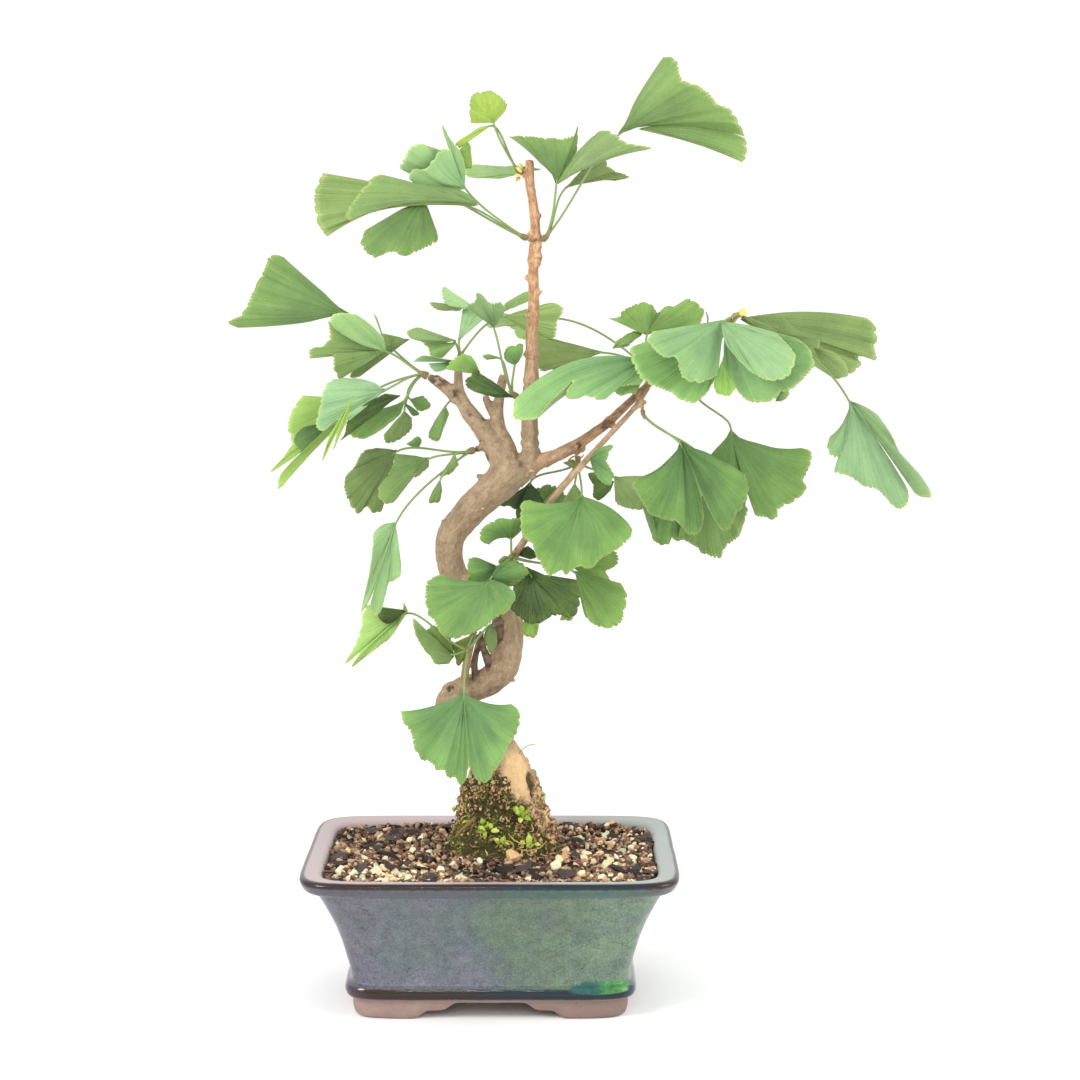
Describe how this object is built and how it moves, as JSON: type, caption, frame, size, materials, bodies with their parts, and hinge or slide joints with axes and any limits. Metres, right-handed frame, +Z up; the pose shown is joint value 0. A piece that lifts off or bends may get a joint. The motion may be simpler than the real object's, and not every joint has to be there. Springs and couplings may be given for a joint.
{
  "type": "ginkgo bonsai in a glazed pot",
  "caption": "Curved-trunk ginkgo bonsai with fan leaves on spurs, standing in soil in a rectangular glazed pot on feet.",
  "frame": {"origin": "on the surface that the feet stand on, under the middle of the whole object's box", "axes": "+Z up, +X to the right along the pot's long side, +Y to the back across the pot"},
  "size_m": [0.3788, 0.1498, 0.4979],
  "materials": {
    "glaze": "mottled crackle glaze, blue-grey to green, dark at the edges, bare clay feet",
    "screen": "moulded plastic mesh",
    "soil": "loose bark and peat crumbs with pale pumice grains",
    "moss": "dark moss with dry fibrous roots",
    "bark": "smooth tan bark, cracked and flaky near the root",
    "leaf": "matt leaf with fine fanned veins, lighter at the edge"
  },
  "bodies": {
    "root": {"pot": "glaze", "drain_screen_left": "screen", "drain_screen_right": "screen", "soil": "soil", "moss": "moss", "trunk": "bark", "crown_tip": "leaf", "crown_left": "leaf", "crown_right": "leaf", "branch_left": "leaf", "leaf_left_small": "leaf", "spur_left": "leaf", "spur_upper_left": "leaf", "spur_leader": "leaf", "spur_mid_right": "leaf", "branch_right": "leaf", "shoot_right": "leaf", "spur_right": "leaf", "shoot_mid": "leaf", "shoot_low": "leaf"}
  },
  "joints": []
}
